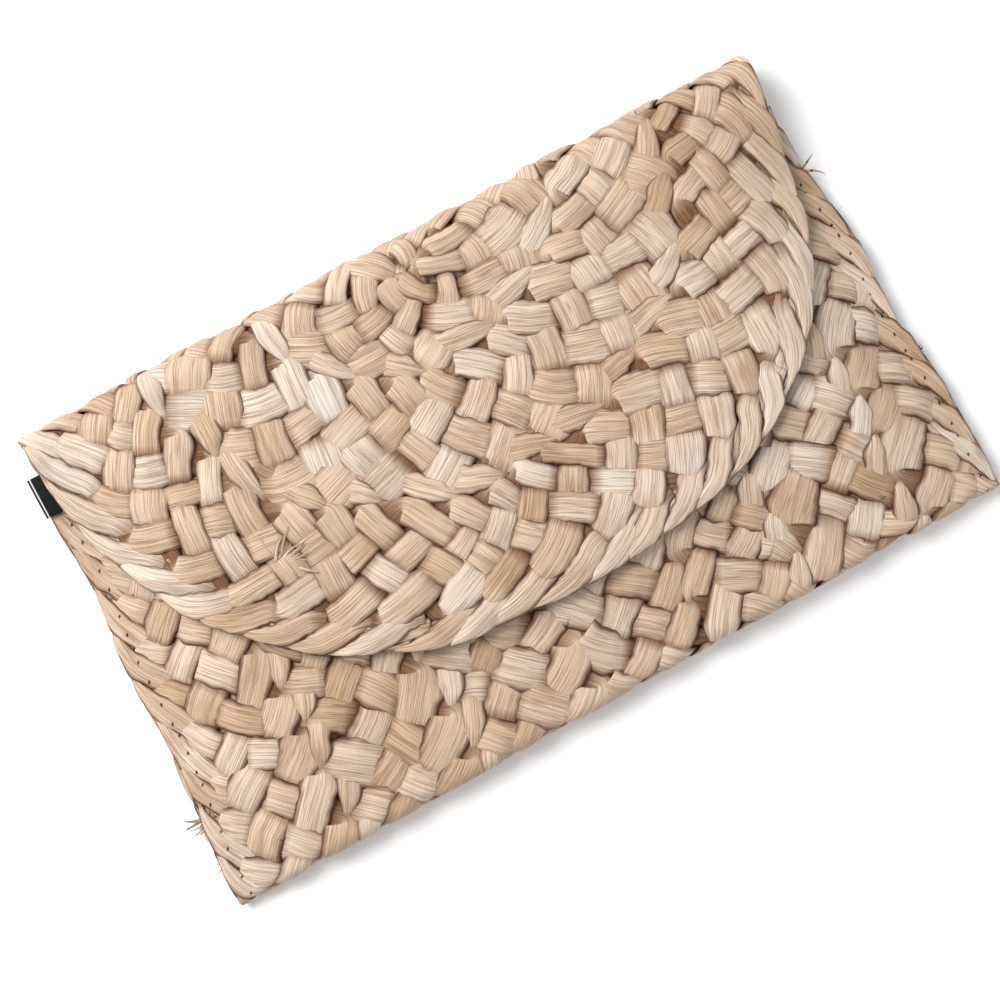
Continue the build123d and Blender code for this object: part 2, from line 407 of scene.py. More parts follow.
def even_rows(a, x, m, step):
    """Places along a line at even steps, closer together where it turns."""
    length = np.hypot(np.diff(x), np.diff(m))
    heading = np.unwrap(np.arctan2(np.diff(m), np.diff(x)))
    turning = np.abs(np.diff(heading, prepend=heading[0]))
    pace = np.concatenate([[0.0], np.cumsum(length + TURN_LENGTH * turning)])
    return np.interp(np.linspace(0.0, pace[-1], int(pace[-1] / step) + 2), pace, a)


def lay_husk(course, a, beta, half, height, tone, style, rng, side=1.0):
    """Shape one strand of husk along a line on a course, facing out or, for side -1, in."""
    across, section = husk_section(style.points_top, 3)
    width = np.interp(a, course["a"], course["width"])
    x, m = on_course(course, a, beta)
    x = x + wander(x, m, 11, style.warp_size, style.warp)
    m = m + wander(x, m, 23, style.warp_size, style.warp)
    tangent_x = np.gradient(x)
    tangent_m = np.gradient(m)
    length = np.hypot(tangent_x, tangent_m) + 1e-6
    along = np.cumsum(length)
    tangent_x = tangent_x / length
    tangent_m = tangent_m / length
    turn_rate = (tangent_x * np.gradient(tangent_m) - tangent_m * np.gradient(tangent_x)) / length

    # On the inner side of a turn the rows may not cross one another
    ragged = 1.0 + wander(x[:, None] + across[None, :], m[:, None], 61, 7.0, style.ragged)
    offset = side * across[None, :] * half[:, None] * ragged
    radius = style.pinch / (np.abs(turn_rate) + 1e-4)
    toward = np.sign(turn_rate)[:, None] * offset > 0
    limit = np.broadcast_to(radius[:, None], offset.shape)
    offset = np.where(toward, np.sign(offset) * np.minimum(np.abs(offset), limit), offset)

    # What sticks out past the course's edge is folded back to a rounded end
    inner_x, inner_m = on_course(course, a, np.full_like(a, -1.0))
    outer_x, outer_m = on_course(course, a, np.full_like(a, 1.0))
    cross_x = (outer_x - inner_x) / width
    cross_m = (outer_m - inner_m) / width
    half_course = width[:, None] / 2
    across_share = (cross_m * tangent_x - cross_x * tangent_m)[:, None]
    place = beta[:, None] + offset * across_share / half_course
    beyond = np.maximum(np.maximum(place - 1.0, -place - style.inner_limit), 0.0)
    spill = np.where(place < 0, style.petal_spill, style.leaf_spill)
    fold_back = np.sign(place) * (beyond - spill * (1.0 - np.exp(-beyond / spill))) * half_course
    px = x[:, None] - offset * tangent_m[:, None] - fold_back * cross_x[:, None]
    pm = m[:, None] + offset * tangent_x[:, None] - fold_back * cross_m[:, None]

    # Lengthwise pleats and folds
    crease = np.zeros_like(offset)
    for _ in range(style.creases):
        line = rng.uniform(-0.75, 0.75) + drift(rng, along, 30.0, -0.35, 0.35)
        depth = np.clip(drift(rng, along, 20.0, -0.5, 1.0), 0.0, 1.0) * rng.uniform(0.5, 1.6)
        off_line = (across[None, :] - line[:, None]) / (style.crease_width * rng.uniform(0.6, 1.4))
        crease -= depth[:, None] * np.exp(-off_line ** 2) * style.crease_depth
    front = 1.0 - smooth((m - M_BEND + 6.0) / 12.0)
    tilt = drift(rng, along, 17.0, -1.0, 1.0) * style.tilt * (1.0 + style.front_relief * front)
    body = section[None, :] * style.half_thickness
    body = np.where(section[None, :] > 0, body + crease * (1.0 - np.abs(across)[None, :] ** 6), body)
    n = body + style.crown * (1.0 - across[None, :] ** 2) + tilt[:, None] * across[None, :]
    n = n + height[:, None] - style.rim_drop * smooth(beyond / 0.25)
    n = n + wander(x, m, 41, 70.0, style.lumps)[:, None]
    n = n + (drift(rng, along, 13.0, -0.6, 0.6) * style.front_relief * 0.5 * front)[:, None]

    def each_row(values):
        return np.broadcast_to(values[:, None], px.shape)

    return {
        "x": px,
        "m": pm,
        "n": side * n,
        "middle_x": x,
        "middle_m": m,
        "a": a,
        "u": offset,
        "v": each_row(along + rng.uniform(0, 4000)),
        "tone": each_row(tone),
        # The husk material paints a strand darker towards its rims: partly the husk's own browning, partly
        # painted shade in the crevices. On the front the rim value is raised a little for more painted
        # shade in the gaps there.
        "rim": np.abs(across)[None, :] + 0.05 * front[:, None],
        # Its height, from which the husk material paints shade where the strand dives low
        "dip": each_row(height),
        "course_a": each_row(a),
        "course_b": place * half_course,
    }


def fan_out(course, a, beta):
    """How much longer a course is at beta than along its middle."""
    def length_at(share):
        x_before, m_before = on_course(course, a - 1.0, share)
        x_after, m_after = on_course(course, a + 1.0, share)
        return np.hypot(x_after - x_before, m_after - m_before)

    return np.clip(length_at(beta) / np.maximum(length_at(np.zeros_like(a)), 0.5), 0.7, 1.35)


def plait_strands(course, strands, style, seed):
    """Shape every strand of a flat plait along a course; returns one record of arrays per strand."""
    rng = np.random.default_rng(seed)
    period = style.period
    fine = np.arange(0.0, course["length"], 0.25)
    runs = []
    for index in range(strands):
        knots = int(fine[-1] / SLIP_LENGTH) + 2
        slips = rng.normal(0.0, style.slip, knots)
        slip = np.interp(fine, np.linspace(0, fine[-1], knots), slips)
        phase_fine = fine / period + index / strands + slip
        beta_fine = zigzag(phase_fine, style.sharpness) * style.reach
        x, m = on_course(course, fine, beta_fine)
        a = even_rows(fine, x, m, style.step)
        phase = np.interp(a, fine, phase_fine)
        beta = zigzag(phase, style.sharpness) * style.reach
        crossing = (phase % 0.5) * 2 * strands
        swing = over_under(crossing, strands)

        # Each stretch between two dives has its own width, height and tone
        cell = np.floor(phase * strands + 0.25).astype(int)
        cell -= cell.min()
        soft = np.ones(9) / 9.0
        cells = cell.max() + 2
        spread = np.convolve(rng.normal(0.0, style.width_spread, cells)[cell], soft, mode="same")
        lift = np.convolve(rng.normal(0.0, style.lift_spread, cells)[cell], soft, mode="same")
        husk = (a / HUSK_LENGTH).astype(int)
        husk_tone = rng.normal(0.0, 1.0, int(a[-1] / HUSK_LENGTH) + 3)[husk]
        tone = husk_tone * 0.75 + rng.normal(0.0, 0.55, cells)[cell] * 0.65
        tone = np.convolve(tone, np.ones(5) / 5.0, mode="same")

        # Outer turns lie low and inner turns stand proud, to lap over the next course
        leaf = smooth((beta / style.reach - 0.5) / 0.5)
        petal = smooth((-beta / style.reach - 0.45) / 0.55)
        width = np.interp(a, course["a"], course["width"])
        half = width * style.strand_share * (1.0 + spread) * fan_out(course, a, beta) / 2
        half = half * (1.0 - style.leaf * leaf + style.petal_width * petal)
        height = (swing + style.bias) * style.swing + lift
        height = height - style.leaf_drop * leaf + style.petal_lift * petal
        runs.append(lay_husk(course, a, beta, half, height, tone, style, rng))
    return runs


def edge_leaves(course, spacing, style, seed, side=1.0, forward=True):
    """The flattened turns along an edge: each is thin on the rim, widens and tucks under.

    Forward leaves have their thin end first along the course, backward ones last.
    """
    rng = np.random.default_rng(seed)
    t = np.linspace(0.0, 1.0, 30)
    runs = []
    for index in range(-1, int(course["length"] / spacing) + 2):
        start = (index + rng.normal(0.0, 0.06)) * spacing
        length = style.leaf_length * (1.0 + rng.normal(0.0, 0.08))
        a = start + t * length if forward else start - t * length
        kept = (a > 0.0) & (a < course["length"])
        if kept.sum() < 6:
            continue
        half_course = np.interp(a, course["a"], course["width"]) / 2
        half = style.leaf_half * (1.0 + rng.normal(0.0, 0.08)) * smooth(t / style.leaf_widens)
        half = style.tail_half + half * (1.0 - 0.3 * smooth((t - 0.7) / 0.3))
        turn = style.leaf_turn * smooth((t - style.leaf_bend) / (1.0 - style.leaf_bend))
        rim = style.leaf_rim + rng.normal(0.0, style.leaf_scatter)
        rim = rim + style.leaf_bulge * np.sin(math.pi * np.minimum(t / 0.75, 1.0))
        beta = 1.0 + (rim - half - turn) / half_course
        height = style.tail_height + style.leaf_rise * smooth(t / 0.3)
        height = height - style.leaf_tuck * smooth((t - style.tuck_from) / 0.5)
        tone = np.full_like(a, rng.normal(0.0, 0.9))
        run = lay_husk(
            course, a[kept], beta[kept], half[kept], height[kept], tone[kept], style, rng, side
        )
        runs.append(run)
    return runs


def loose_fibres(x, m, heading, count, length, spread, style, seed):
    """A frayed husk end: thin fibres that fan out from one place, headings in radians on the mat."""
    rng = np.random.default_rng(seed)
    t = np.linspace(0.0, 1.0, 12)
    runs = []
    for _ in range(count):
        turn = heading + rng.normal(0.0, spread) + rng.normal(0.0, 0.5) * t
        reach = length * rng.uniform(0.45, 1.0)
        line_x = x + rng.normal(0.0, 0.9) + np.cumsum(np.cos(turn)) * reach / len(t)
        line_m = m + rng.normal(0.0, 0.9) + np.cumsum(np.sin(turn)) * reach / len(t)
        side_x = 5.0 * np.sin(turn)
        side_m = 5.0 * np.cos(turn)
        strip = course_from(line_x + side_x, line_m - side_m, line_x - side_x, line_m + side_m)
        a = np.linspace(0.0, strip["length"], len(t))
        half = rng.uniform(0.2, 0.7) * (1.0 - 0.75 * t ** 2)
        height = style.fibre_height + rng.uniform(0.2, 1.2) * t
        tone = np.full_like(a, style.fibre_tone + rng.uniform(-0.5, 0.5))
        runs.append(lay_husk(strip, a, np.zeros_like(a), half, height, tone, style, rng))
    return runs


def pick_runs(runs, wanted, trimmed=False):
    """The stretches of the strands where wanted(a, m) holds, if trimmed inside the sewn sides."""
    picked = []
    for run in runs:
        mask = wanted(run["a"], run["middle_m"])
        if trimmed:
            reach = half_width(body_y(run["middle_m"])) - TRIM
            mask = mask & (np.abs(run["middle_x"]) < reach)
        edges = np.flatnonzero(np.diff(mask.astype(int)))
        starts = [0] if mask[0] else []
        starts += [int(e) + 1 for e in edges if not mask[e]]
        ends = [int(e) + 1 for e in edges if mask[e]]
        if mask[-1]:
            ends.append(len(mask))
        for start, end in zip(starts, ends):
            first = max(start - 1, 0)
            if end - first < 3:
                continue
            picked.append({key: run[key][first:end] for key in ROW_KEYS})
    return picked


def tuck_under_sides(x, m, n):
    """Courses end under the side borders: their ends are cut back and pressed down."""
    edge = half_width(body_y(m))
    gap = edge - np.abs(x)
    pressed = np.where(m < M_FOLD, 1.3 * (1.0 - smooth((gap - 3.0) / 9.0)), 0.0)
    cut_back = np.where(m < M_FOLD, np.sign(x) * np.minimum(np.abs(x), edge - TRIM / 2), x)
    return cut_back, n - pressed


def keep_in_mat(m, n):
    """Ease heights into the mat's thickness: clear of the lining and flat on the table behind."""
    behind = smooth((m - M_BEND) / 8.0) * smooth((M_FOLD - m) / 8.0)
    top = FRONT_LIMIT + (BACK_LIMIT - FRONT_LIMIT) * behind
    bottom = -BACK_LIMIT
    ease = 0.5
    above = np.maximum(n - top + ease, 0.0)
    below = np.maximum(bottom + ease - n, 0.0)
    n = n - above + ease * (1.0 - np.exp(-above / ease))
    return n + below - ease * (1.0 - np.exp(-below / ease))


def press_for_snap(x, m, n):
    """Flatten and sink the front's plait where the snap's socket sits in it."""
    away = np.hypot(x, MOUTH_Y - m - SNAP_Y) - SOCKET_RADIUS
    near = np.where(m < M_BEND, 1.0 - smooth(away / 7.0), 0.0)
    return n * (1.0 - 0.6 * near) - 1.6 * near


def strands_to_mesh(name, runs, under_sides=False):
    """One mesh of closed strands, with husk coordinates and shade attributes."""
    faces = []
    caps = []
    start = 0
    for run in runs:
        rows, columns = run["x"].shape
        ring = start + np.arange(rows * columns).reshape(rows, columns)
        nxt = np.roll(ring, -1, axis=1)
        quads = np.stack([ring[:-1], nxt[:-1], nxt[1:], ring[1:]], axis=-1)
        faces.append(quads.reshape(-1, 4))
        caps.append(ring[0][::-1].tolist())
        caps.append(ring[-1].tolist())
        start += rows * columns
    quads = np.concatenate(faces)
    flat = {key: np.concatenate([run[key].reshape(-1) for run in runs]) for key in ROW_KEYS}
    x = flat["x"]
    height = press_for_snap(x, flat["m"], flat["n"])
    if under_sides:
        x, height = tuck_under_sides(x, flat["m"], height)
    height = keep_in_mat(flat["m"], height)
    points = mat_point(x, flat["m"], height) * MM

    mesh = bpy.data.meshes.new(name)
    mesh.from_pydata(points.tolist(), [], quads.tolist() + caps)
    mesh.update()
    loops = np.empty(len(mesh.loops), dtype=np.int32)
    mesh.loops.foreach_get("vertex_index", loops)
    for layer_name, keys in (("Husk", ("u", "v")), ("Course", ("course_a", "course_b"))):
        uv = np.stack([flat[key][loops] for key in keys], axis=-1).ravel() * MM
        mesh.uv_layers.new(name=layer_name).data.foreach_set("uv", uv)
    for key in ("tone", "rim", "dip"):
        layer = mesh.attributes.new(key, "FLOAT", "POINT")
        layer.data.foreach_set("value", flat[key].astype(np.float32))
    mesh.polygons.foreach_set("use_smooth", [True] * len(mesh.polygons))
    piece = bpy.data.objects.new(name, mesh)
    bpy.context.collection.objects.link(piece)
    return piece


# ---- Materials

def linear(hex_colour):
    """An sRGB hex colour as a linear one."""
    channels = [int(hex_colour[i:i + 2], 16) / 255 for i in (1, 3, 5)]
    out = [c / 12.92 if c <= 0.04045 else ((c + 0.055) / 1.055) ** 2.4 for c in channels]
    return (*out, 1.0)


def fit(made, settings=None, links=None):
    """Set a node's properties, inputs and colour stops, and link its inputs to others' outputs.

    Where a link names a node, its first output is meant.
    """
    for key, value in (settings or {}).items():
        if key == "stops":
            place_stops(made.color_ramp.elements, value)
        elif isinstance(key, int) or key in made.inputs:
            made.inputs[key].default_value = value
        else:
            setattr(made, key, value)
    for key, source in (links or {}).items():
        output = source.outputs[0] if isinstance(source, bpy.types.Node) else source
        made.id_data.links.new(output, made.inputs[key])
    return made


def place_stops(elements, stops):
    """Set a colour ramp's stops, each a place and a hex colour."""
    while len(elements) < len(stops):
        elements.new(0.5)
    for element, (place, colour) in zip(elements, stops):
        element.position = place
        element.color = linear(colour)


def node(tree, kind, settings=None, links=None):
    """Add a shader node with its settings and links."""
    return fit(tree.nodes.new("ShaderNode" + kind), settings, links)


def new_material(name):
    """A material, the function that adds nodes to it, and its surface shader."""
    material = bpy.data.materials.new(name)
    material.use_nodes = True
    material.node_tree.nodes.clear()
    add = partial(node, material.node_tree)
    shader = add("BsdfPrincipled")
    add("OutputMaterial", links={"Surface": shader})
    return material, add, shader


def corn_husk(name, settings, lightness, stitched):
    """Dried corn husk, split and plaited: matt, with fine lengthwise ribs, and rims, dips and grooves
    painted darker, partly the husk's own browning and partly painted shade.
    """
    material, add, shader = new_material(name)
    husk = add("UVMap", {"uv_map": "Husk"})
    tone, rim, dip = (
        add("Attribute", {"attribute_name": key}).outputs["Fac"] for key in ("tone", "rim", "dip")
    )
    place = add("TexCoord").outputs["Object"]

    # Ribs a little over half a millimetre apart run the whole length of a strand, fibres between them
    drawn_out = add("Mapping", {"Scale": (1.0, 0.012, 1.0)}, {"Vector": husk})
    ribs = add("TexNoise", {"Scale": 1800.0, "Detail": 2.0, "Roughness": 0.55}, {"Vector": drawn_out})
    fibre = add("TexNoise", {"Scale": 3600.0, "Detail": 2.0, "Roughness": 0.6}, {"Vector": drawn_out})
    ribs, fibre = ribs.outputs["Fac"], fibre.outputs["Fac"]
    off_line = add("Math", {"operation": "SUBTRACT", 1: 0.5}, {0: ribs})
    off_line = add("Math", {"operation": "ABSOLUTE"}, {0: off_line})
    # The grooves get darker colour below: partly the husk's darker rib lines, partly painted shade in the
    # grooves
    narrow = {"From Min": 0.0, "From Max": 0.045, "To Min": 1.0, "To Max": 0.0}
    groove = add("MapRange", narrow, {"Value": off_line})

    # Blotches a centimetre wide and patches several centimetres wide where the leaf has bleached
    drawn_out = add("Mapping", {"Scale": (1.0, 0.3, 1.0)}, {"Vector": husk})
    blotch = add("TexNoise", {"Scale": 110.0, "Detail": 3.0, "Roughness": 0.6}, {"Vector": drawn_out})
    bleach = add("TexNoise", {"Scale": 14.0, "Detail": 1.0}, {"Vector": place})

    # Each strand lies between tan and a pale pinkish cream
    shade = add("Math", {"operation": "MULTIPLY_ADD", 1: settings.tone_spread, 2: lightness}, {0: tone})
    for pattern, strength in ((blotch.outputs["Fac"], 0.6), (bleach.outputs["Fac"], 0.45), (fibre, 0.3)):
        centred = {"operation": "MULTIPLY_ADD", 1: strength, 2: -strength / 2}
        swing = add("Math", centred, {0: pattern})
        shade = add("Math", {"operation": "ADD"}, {0: shade, 1: swing})
    tan_to_cream = (
        (0.0, "#AB8A66"), (0.3, "#C7A98C"), (0.55, "#D6BDA6"), (0.78, "#DFCCBA"), (1.0, "#E6D9CC")
    )
    colour = add("ValToRGB", {"stops": tan_to_cream}, {0: shade}).outputs["Color"]

    # Darkened colour: where a strand dives under its neighbours, painted shade; along its rims, the husk's
    # own browning plus painted shade in the crevices; in the rib grooves, darker rib lines plus painted
    # shade
    rim_brown_and_shade = {"From Min": 0.74, "From Max": 1.0, "To Min": 0.0, "To Max": 0.95}
    sunk_shade = {"From Min": 0.0, "From Max": -1.0, "To Min": 0.0, "To Max": 0.95}
    edge = add("MapRange", rim_brown_and_shade, {"Value": rim})
    dive_shade = add("MapRange", sunk_shade, {"Value": dip})
    browned_and_shaded = [(groove, "#C09066", 0.6), (dive_shade, "#936F4C", 1.0), (edge, "#6A3912", 1.0)]
    if stitched:
        # The needle holes are painted dark brown: painted shade inside the holes
        browned_and_shaded.append((needle_holes(add), "#4A2F1A", 1.0))
    for amount, dark_tint, most in browned_and_shaded:
        faded = add("Math", {"operation": "MULTIPLY", 1: most}, {0: amount})
        darkening = {"data_type": "RGBA", "blend_type": "MULTIPLY", 7: linear(dark_tint)}
        colour = add("Mix", darkening, {0: faded, 6: colour}).outputs[2]
    relief = add("Math", {"operation": "MULTIPLY_ADD", 1: -0.8}, {0: groove, 2: fibre})
    bump = add("Bump", {"Strength": 0.8, "Distance": 0.0003}, {"Height": relief})
    matt = {"Roughness": 0.6, "IOR": 1.45, "Specular IOR Level": 0.4}
    fit(shader, matt, {"Base Color": colour, "Normal": bump})
    return material


def needle_holes(add):
    """1 in the needle holes of the seam that runs along an edge, 0 elsewhere."""
    pitch = STITCH_PITCH * MM
    course = add("UVMap", {"uv_map": "Course"})
    split = add("SeparateXYZ", links={0: course})
    along = add("Math", {"operation": "FLOORED_MODULO", 1: pitch}, {0: split})
    along = add("Math", {"operation": "SUBTRACT", 1: pitch / 2}, {0: along})
    spot = add("CombineXYZ", links={0: along, 1: split.outputs[1]})
    away = add("VectorMath", {"operation": "LENGTH"}, {0: spot})
    hole = {"From Min": 0.0003, "From Max": 0.0007, "To Min": 1.0, "To Max": 0.0}
    return add("MapRange", hole, {"Value": away.outputs["Value"]})


def cotton():
    """Plain-weave cotton: soft and matt, its threads drawn 1 mm apart, coarser than real ones, to show."""
    material, add, shader = new_material("cotton plain weave")
    place = add("TexCoord").outputs["Object"]
    threads = {"Scale": 320.0, "Distortion": 0.6}
    warp, weft = (
        add("TexWave", {"bands_direction": axis, **threads}, {"Vector": place}).outputs["Fac"]
        for axis in "XY"
    )
    weave = add("Math", {"operation": "MULTIPLY"}, {0: warp, 1: weft})
    sand = ((0.0, "#A58A66"), (0.5, "#BFA581"), (1.0, "#CDB796"))
    colour = add("ValToRGB", {"stops": sand}, {0: weave})
    bump = add("Bump", {"Strength": 0.4, "Distance": 0.0002}, {"Height": weave})
    fit(shader, {"Roughness": 0.85, "Sheen Weight": 0.15}, {"Base Color": colour, "Normal": bump})
    return material


def black_ribbon():
    """Woven polyester ribbon: black, with a pale painted highlight line along its fold, ribs 0.6 mm apart
    and a dull gloss.
    """
    material, add, shader = new_material("woven polyester ribbon")
    place = add("TexCoord").outputs["Object"]
    ribbed = {"bands_direction": "Y", "Scale": 500.0, "Distortion": 0.4}
    ribs = add("TexWave", ribbed, {"Vector": place}).outputs["Fac"]
    black = add("ValToRGB", {"stops": ((0.0, "#050506"), (1.0, "#121214"))}, {0: ribs})
    split = add("SeparateXYZ", links={0: place})
    # The pale line is a painted highlight where the ribbon's fold catches the light
    line = (TAB_LOW.x + TAB_TAKEN + HIGHLIGHT_INSET) * MM
    off_line = add("Math", {"operation": "SUBTRACT", 1: line}, {0: split})
    off_line = add("Math", {"operation": "ABSOLUTE"}, {0: off_line})
    thin = {"From Min": 0.0002, "From Max": 0.0003, "To Min": 1.0, "To Max": 0.0}
    fold_highlight = add("MapRange", thin, {"Value": off_line})
    colour = add("Mix", {"data_type": "RGBA", 7: linear("#C9CBD2")}, {0: fold_highlight, 6: black})
    bump = add("Bump", {"Strength": 0.5, "Distance": 0.0001}, {"Height": ribs})
    dull = {"Roughness": 0.7, "Specular IOR Level": 0.2}
    fit(shader, dull, {"Base Color": colour.outputs[2], "Normal": bump})
    return material


def nickel():
    """Nickel-plated pressed steel: a satin gloss, slightly scuffed."""
    material, add, shader = new_material("nickel-plated steel")
    place = add("TexCoord").outputs["Object"]
    scuff = add("TexNoise", {"Scale": 900.0, "Detail": 3.0}, {"Vector": place})
    rough = add("MapRange", {"To Min": 0.3, "To Max": 0.45}, {"Value": scuff.outputs["Fac"]})
    fit(shader, {"Base Color": linear("#7F7D78"), "Metallic": 1.0}, {"Roughness": rough})
    return material


def floor_card():
    """Smooth white studio card."""
    material, add, shader = new_material("white studio card")
    place = add("TexCoord").outputs["Object"]
    grain = add("TexNoise", {"Scale": 400.0, "Detail": 2.0}, {"Vector": place}).outputs["Fac"]
    colour = add("ValToRGB", {"stops": ((0.0, "#FAFAFA"), (1.0, "#FDFDFD"))}, {0: grain})
    fit(shader, {"Roughness": 0.9}, {"Base Color": colour})
    return material


# ---- Settings

class PlaitSettings(bpy.types.PropertyGroup):
    """Sizes of the flat husk plait"""

    strands: bpy.props.IntProperty(
        name="Strands", description="Husk strands in each plaited course", default=5, min=3, max=9
    )
    cell: bpy.props.FloatProperty(
        name="Repeat",
        description="Length in which a strand crosses the course and comes back",
        default=0.086,
        unit="LENGTH",
    )
    step: bpy.props.FloatProperty(
        name="Step", description="Distance between a strand's cross-sections", default=0.0011, unit="LENGTH"
    )
    thickness: bpy.props.FloatProperty(
        name="Husk thickness", description="Thickness of one folded strand", default=0.0014, unit="LENGTH"
    )
    tone_spread: bpy.props.FloatProperty(
        name="Tone spread", description="How much strands differ in colour", default=0.145, min=0.0, max=1.0
    )


class StageSettings(bpy.types.PropertyGroup):
    """Camera and light"""

    lens: bpy.props.FloatProperty(name="Lens", description="Focal length", default=85.0, unit="CAMERA")
    key_power: bpy.props.FloatProperty(
        name="Key light", description="Power of the large soft light", default=24.2, unit="POWER"
    )


def plait_style(settings, **changes):
    """How a course's strands lie; lengths in millimetres."""
    style = dict(
        # A strand's way to and fro over the course, and how unevenly it keeps to it
        period=settings.cell / MM, step=settings.step / MM, reach=0.96, sharpness=0.994,
        slip=0.015, warp=1.6, warp_size=48.0, pinch=0.85,
        # Its width, as a share of the course's, and how that varies
        strand_share=1.5 / settings.strands, width_spread=0.12, ragged=0.05,
        # Its height over and under the others
        swing=1.05, bias=-0.3, lift_spread=0.2, lumps=0.35, front_relief=1.6,
        # Its turns: leaves at the outer edge of the course, petals at the inner one
        leaf=0.12, leaf_drop=0.5, leaf_spill=0.1, rim_drop=0.5,
        petal_width=0.2, petal_lift=0.4, petal_spill=0.2, inner_limit=1.0,
        # Its cross-section
        points_top=15, half_thickness=settings.thickness / MM / 2, crown=0.6, tilt=0.22,
        creases=4, crease_width=0.11, crease_depth=0.35,
    )
    return SimpleNamespace(**{**style, **changes})


def leaf_style(settings, **changes):
    """How the pressed turns along the edges lie; lengths in millimetres."""
    pressed = dict(
        warp=0.8, ragged=0.09, lumps=0.2, front_relief=0.0,
        inner_limit=9.0, leaf_spill=0.06, rim_drop=0.3,
        half_thickness=0.6, crown=0.3, tilt=0.12, creases=5, crease_depth=0.2,
        # A turn's outline, from its thin tail to its tucked end
        leaf_length=37.0, leaf_half=3.9, leaf_widens=0.55, tail_half=0.7,
        # How it bends away from the rim
        leaf_turn=7.5, leaf_bend=0.38, leaf_rim=-1.0, leaf_bulge=1.5, leaf_scatter=0.35,
        # How high it lies
        tail_height=-0.5, leaf_rise=1.4, leaf_tuck=1.6, tuck_from=0.5,
    )
    return plait_style(settings, **{**pressed, **changes})


def seam_leaf_style(settings):
    """How the turns along the seams between courses lie; lengths in millimetres."""
    return leaf_style(
        settings,
        warp=1.3, leaf_spill=0.1, half_thickness=0.7, crown=0.5, tilt=0.4,
        leaf_length=23.0, leaf_half=3.4, leaf_widens=0.42, tail_half=1.3,
        leaf_turn=5.2, leaf_bend=0.25, leaf_rim=0.9, leaf_bulge=0.0, leaf_scatter=0.6,
        tail_height=-0.9, leaf_rise=2.2, leaf_tuck=1.9, tuck_from=0.38,
    )


def fibre_style(settings, height, tone):
    """How torn husk fibres lie; lengths in millimetres."""
    return plait_style(
        settings,
        warp=0.0, ragged=0.0, lumps=0.0, front_relief=0.0, inner_limit=9.0,
        points_top=5, half_thickness=0.16, crown=0.1, tilt=0.0, creases=0,
        fibre_height=height, fibre_tone=tone,
    )


# ---- Operators, one for each piece or group of like pieces

def legs(course):
    """What picks a ring course's left and right leg: both end where the flap's plaits start."""
    half = course["length"] / 2
    return (
        lambda a, m: (m < M_FOLD) & (a < half),
        lambda a, m: (m < M_FOLD) & (a >= half),
    )


def before_fold(a, m):
    """Picks the body's part of a course."""
    return m < M_FOLD


def past_fold(a, m):
    """Picks the flap's part of a course."""
    return m >= M_FOLD


def dress(piece, material, replaced, on_flap=False):
    """Give a piece its material and hide the frame node it replaces; attach a body piece to the pouch, and
    bake a flap piece's transform.
    """
    piece.data.materials.append(material)
    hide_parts(replaced)
    if on_flap:
        bend_over_fold(piece)
    else:
        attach(piece, "pouch")


def bend_over_fold(piece):
    """Bake a flap piece's transform into its mesh; it is attached to no body."""
    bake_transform(piece)


class CLUTCH_OT_courses(bpy.types.Operator):
    """Plait the mat: upright courses round the body, nested arches on the flap"""

    bl_idname = "clutch.courses"
    bl_label = "Plaited courses"

    def execute(self, context):
        settings = context.scene.clutch_plait
        husk = corn_husk("corn husk, split and plaited", settings, 0.5, stitched=False)
        spacing = settings.cell / MM / settings.strands
        for ring, (inside, name) in enumerate(zip(RINGS, RINGS[1:]), start=1):
            left, right = 4 - ring, 4 + ring
            inner = (BODY_SEAMS[left], BODY_SEAMS[right - 1])
            outer = (BODY_SEAMS[left - 1], BODY_SEAMS[right])
            course = ring_table(inside, name, inner, outer)
            seed = ring + 2
            if name == RINGS[-1]:
                flat_turns = plait_style(settings, leaf_drop=0.1)
                runs = plait_strands(course, settings.strands, flat_turns, seed)
                frayed = fibre_style(settings, 1.4, 0.7)
                tuft_m = float(mat_distance(np.array(TUFT_DEPTH)))
                runs += loose_fibres(TUFT_X, tuft_m, -0.2, 16, 13.0, 0.55, frayed, 51)
            else:
                sunk_turns = plait_style(settings, leaf_drop=1.2)
                runs = plait_strands(course, settings.strands, sunk_turns, seed)
                runs += edge_leaves(course, spacing, seam_leaf_style(settings), seed + 30, forward=False)
            for number, leg in zip((left, right), legs(course)):
                strands = pick_runs(runs, leg, trimmed=True)
                piece = strands_to_mesh(f"body_plait_{number}", strands, under_sides=True)
                dress(piece, husk, f"body_course_{number}")
            piece = strands_to_mesh(f"flap_plait_{name}", pick_runs(runs, past_fold))
            dress(piece, husk, f"flap_course_{name}", on_flap=True)

        strap = strap_table(BODY_SEAMS[3], BODY_SEAMS[4])
        runs = plait_strands(strap, settings.strands, plait_style(settings), 9)
        piece = strands_to_mesh("body_plait_4", pick_runs(runs, before_fold))
        dress(piece, husk, "body_course_4")
        piece = strands_to_mesh("flap_plait_centre", pick_runs(runs, past_fold))
        dress(piece, husk, "flap_course_centre", on_flap=True)
        return {"FINISHED"}


